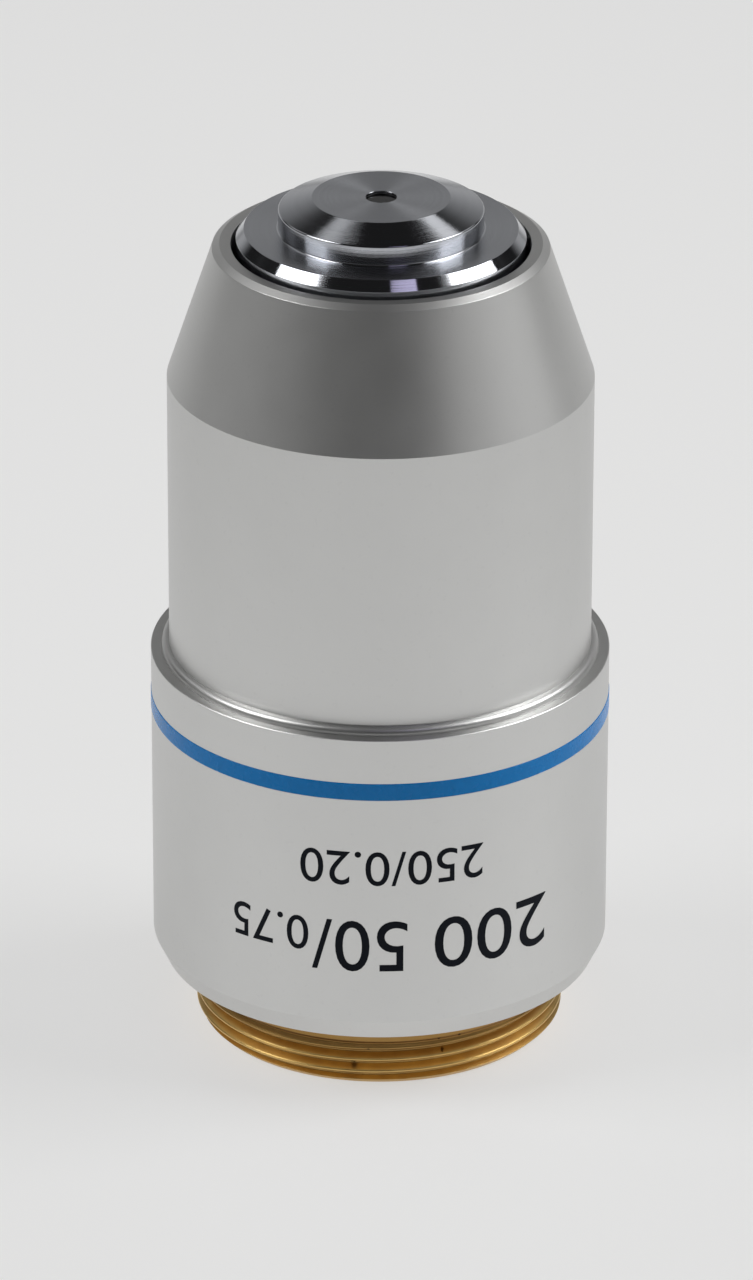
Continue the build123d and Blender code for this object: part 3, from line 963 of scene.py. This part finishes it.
def plain_brass(colours):
    """Fine turned brass of the sliding tube."""
    finish = Finish("tube_brass")
    lines = finish.rings(finish.height() + finish.radius(), 0.05 * MM, 3)
    shade = finish.shades(finish.noise(2.0 * MM, 3), colours.brass, 0.9, 1.05)
    normal = finish.bump(lines, 0.002 * MM, 0.5)
    return finish.surface(shade, 0.22 + lines * 0.12, {"Metallic": 1.0, "Normal": normal})


def black_brass(colours):
    """Matt black oxide over turned brass."""
    finish = Finish("black_oxide")
    lines = finish.rings(finish.height() + finish.radius(), 0.08 * MM, 3)
    dust = finish.smooth(finish.noise(0.4 * MM, 3), 0.5, 0.8)
    shade = finish.shades(dust, colours.black, 1.0, 2.2)
    return finish.surface(shade, 0.5 + lines * 0.2, {"Normal": finish.bump(lines, 0.004 * MM, 0.6)})


def bright_steel(colours):
    """Drawn steel wire and turned steel."""
    if known("drawn_steel"):
        return known("drawn_steel")
    finish = Finish("drawn_steel")
    grain = finish.noise(0.2 * MM, 3)
    shade = finish.shades(grain, colours.steel, 0.85, 1.05)
    normal = finish.bump(grain, 0.001 * MM, 0.5)
    return finish.surface(shade, 0.22 + grain * 0.15, {"Metallic": 1.0, "Normal": normal})


def optical_glass(name, tint, index):
    """Coated optical glass, with a trace of colour and very fine polishing marks."""
    finish = Finish(name)
    haze = finish.noise(0.5 * MM, 3)
    shade = finish.shades(haze, tint, 0.99, 1.0)
    return finish.surface(shade, 0.01 + haze * 0.01, {"IOR": index, "Transmission Weight": 1.0})


def printed_ink(colours):
    """Printed ink, slightly uneven."""
    finish = Finish("printed_ink")
    patch = finish.noise(0.25 * MM, 3)
    shade = finish.shades(patch, colours.ink, 0.7, 1.5)
    normal = finish.bump(patch, 0.002 * MM, 0.4)
    return finish.surface(shade, 0.5 + patch * 0.12, {"IOR": 1.2, "Normal": normal})


class OBJECTIVE_OT_inner_finishes(bpy.types.Operator):
    """Finishes of the inner pieces, which keep their own shapes"""

    bl_idname = "objective.inner_finishes"
    bl_label = "Inner finishes"

    def execute(self, context):
        colours = context.scene.objective_colours
        finishes = {
            "plain_brass": plain_brass(colours),
            "black_brass": black_brass(colours),
            "bright_steel": bright_steel(colours),
            "crown_glass": optical_glass("crown_lens", (0.97, 0.98, 1.0), 1.52),
            "flint_glass": optical_glass("flint_lens", (1.0, 0.99, 0.96), 1.62),
        }
        for part in frame["record"]["subparts"]:
            node = frame["nodes"][part["node"]]
            finish = finishes.get(part["material_slot"])
            if finish is not None and not node.hide_render:
                node.data.materials.clear()
                node.data.materials.append(finish)
        return {"FINISHED"}


class OBJECTIVE_OT_studio(bpy.types.Operator):
    """Pale floor, soft lamps, dim surround and the camera"""

    bl_idname = "objective.studio"
    bl_label = "Studio"

    def execute(self, context):
        settings = context.scene.objective_studio
        self.lay_floor(settings)
        self.hang_lamps(settings)
        self.light_surround(context.scene)
        self.place_camera(context.scene, settings)
        context.scene.view_settings.view_transform = "Standard"
        return {"FINISHED"}

    def lay_floor(self, settings):
        """A large flat square under the object: the grid (x, y) at the height of its foot.

        Painted shade darkens it to either side and, from a line just behind the object, to the front and
        back.
        Where it is seen, part of its look is its own glow. What it throws onto the object is only
        the light that falls on it."""
        steps, reach = 24, 6.0
        x, y = np.meshgrid(np.linspace(-reach, reach, steps + 1), np.linspace(-reach, reach, steps + 1))
        points = np.stack([x, y, np.full_like(x, foot_of("thread_mount"))], axis=-1)
        corner = (np.arange(steps)[:, None] * (steps + 1) + np.arange(steps)).ravel()
        faces = np.stack([corner, corner + 1, corner + steps + 2, corner + steps + 1], axis=1)
        floor = mesh_object("floor", points.reshape(-1, 3), faces)
        finish = Finish("floor")
        tone = finish.noise(60 * MM, 3)
        x, y, _ = finish.axes(finish.place)
        across = x.math("ABSOLUTE", x)
        # Painted shade: the floor's colour darkens to either side and away from a line just behind the
        # object.
        painted_side_shade = finish.smooth(across, 0.03, 0.12) * 0.22 + finish.smooth(across, 0.2, 0.6) * 0.25
        far = finish.smooth(y.math("ABSOLUTE", y - 0.03), 0.0, 0.8) * 0.58
        pale = finish.blend(painted_side_shade.math("MAXIMUM", painted_side_shade, far), settings.floor, BLACK)
        pale = finish.blend(tone, pale, finish.blend(0.02, pale, WHITE))
        seen = self.seen(finish) * settings.own_light
        lit = finish.blend(seen, pale, BLACK)
        own = finish.blend(1 - seen * settings.floor_level, pale, BLACK)
        glow = {"Emission Color": own, "Emission Strength": 1.0}
        floor.data.materials.append(finish.surface(lit, 0.6, glow))

    def seen(self, finish):
        """1 where the camera, a reflection or a view through glass meets the floor, else 0."""
        path = finish.node("ShaderNodeLightPath").socket.node
        ways = ["Is Camera Ray", "Is Glossy Ray", "Is Transmission Ray"]
        first, second, third = [Wire(finish, path.outputs[name]) for name in ways]
        return first.math("MAXIMUM", first, second.math("MAXIMUM", second, third))

    def hang_lamps(self, settings):
        """Two large lamps beside the object, four dim ones behind it and a small violet one in front.

        A lamp has its azimuth, in degrees to the right of the camera's side, its elevation, its
        width and height as shares of its distance, and its strength as a share of the strongest."""
        far = settings.lamp_distance
        violet = (0.78, 0.72, 1.0)
        lamps = [
            ("lamp_right", 92, 44.5, 0.56, 0.517, 1.0, WHITE),
            ("lamp_left", -83, 45.5, 0.46, 0.48, 0.9, WHITE),
            ("lamp_rear_right", 130, 44, 0.36, 0.56, 0.12, WHITE),
            ("lamp_rear_left", -130, 44, 0.36, 0.56, 0.10, WHITE),
            ("lamp_back_right", 157, 47.5, 0.28, 0.14, 0.18, WHITE),
            ("lamp_back_left", -157, 53.5, 0.28, 0.14, 0.11, WHITE),
            ("lamp_small", 23.5, 52, 0.27, 0.16, 0.22, violet),
        ]
        for name, azimuth, elevation, width, height, strength, tint in lamps:
            az, el = math.radians(azimuth), math.radians(elevation)
            way = Vector((math.sin(az) * math.cos(el), -math.cos(az) * math.cos(el), math.sin(el)))
            lamp = bpy.data.lights.new(name, "AREA")
            lamp.shape = "RECTANGLE"
            lamp.size, lamp.size_y = width * far, height * far
            lamp.energy = strength * settings.lamp_strength * lamp.size * lamp.size_y
            lamp.color = tint
            holder = linked(name, lamp)
            holder.location = way * far
            holder.rotation_mode = "QUATERNION"
            holder.rotation_quaternion = way.to_track_quat("Z", "Y")
            holder.visible_camera = False

    def light_surround(self, scene):
        """A dim room, paler low down on its right and in the wall behind the object."""
        world = bpy.data.worlds.new("surround")
        world.use_nodes = True
        scene.world = world
        tree = Tree(world.node_tree)
        across, back, up = tree.axes(tree.node("ShaderNodeTexCoord", output="Generated"))
        low = 1 - tree.smooth(up, 0.0, 0.34)
        right = tree.smooth(across, 0.3, 0.8)
        left = tree.smooth(0 - across, 0.3, 0.9)
        behind = tree.smooth(back, 0.62, 0.84)
        room = 0.015 + low * (0.10 + right * 0.85 + left * 0.12) * (1 - tree.smooth(back, 0.1, 0.5))
        wall = behind * (1 - tree.smooth(up, 0.0, 0.9)) * 0.4
        floor_side = 1 - tree.smooth(up, -0.02, 0.0)
        background = world.node_tree.nodes["Background"]
        tree.feed(background.inputs["Strength"], room + wall + floor_side * 0.35)
        tree.feed(background.inputs["Color"], paint(WHITE))

    def place_camera(self, scene, settings):
        """The camera looks along +Y, pitched down, and is turned a little about its view."""
        lens = bpy.data.cameras.new("camera")
        lens.sensor_width = 36.0
        lens.lens = settings.focal
        lens.clip_start, lens.clip_end = 0.01, 20.0
        camera = linked("camera", lens)
        camera.location = (settings.camera_x, settings.camera_y, settings.camera_z)
        tilt = Matrix.Rotation(math.pi / 2 - settings.pitch, 3, "X")
        camera.rotation_euler = (tilt @ Matrix.Rotation(settings.roll, 3, "Z")).to_euler()
        scene.camera = camera


OPERATORS = [
    OBJECTIVE_OT_thread_mount,
    OBJECTIVE_OT_marked_sleeve,
    OBJECTIVE_OT_colour_band,
    OBJECTIVE_OT_nose_housing,
    OBJECTIVE_OT_front_cell,
    OBJECTIVE_OT_return_spring,
    OBJECTIVE_OT_numerals,
    OBJECTIVE_OT_inner_finishes,
    OBJECTIVE_OT_studio,
]


class OBJECTIVE_PT_build(bpy.types.Panel):
    """Sidebar panel that lists the objective's pieces and settings"""

    bl_idname = "OBJECTIVE_PT_build"
    bl_label = "Microscope objective"
    bl_space_type = "VIEW_3D"
    bl_region_type = "UI"
    bl_category = "Objective"

    def draw(self, context):
        for operator in OPERATORS:
            self.layout.operator(operator.bl_idname)
        for name, group in SETTINGS.items():
            box = self.layout.box()
            settings = getattr(context.scene, name)
            for field in group.__annotations__:
                box.prop(settings, field)


def register():
    for group in SETTINGS.values():
        bpy.utils.register_class(group)
    for name, group in SETTINGS.items():
        setattr(bpy.types.Scene, name, PointerProperty(type=group))
    for operator in OPERATORS:
        bpy.utils.register_class(operator)
    bpy.utils.register_class(OBJECTIVE_PT_build)


def unregister():
    bpy.utils.unregister_class(OBJECTIVE_PT_build)
    for operator in reversed(OPERATORS):
        bpy.utils.unregister_class(operator)
    for name, group in SETTINGS.items():
        delattr(bpy.types.Scene, name)
        bpy.utils.unregister_class(group)


def main():
    """Builds the pieces in order."""
    register()
    for operator in OPERATORS:
        family, name = operator.bl_idname.split(".")
        getattr(getattr(bpy.ops, family), name)()
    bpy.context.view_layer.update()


if __name__ == "__main__":
    main()
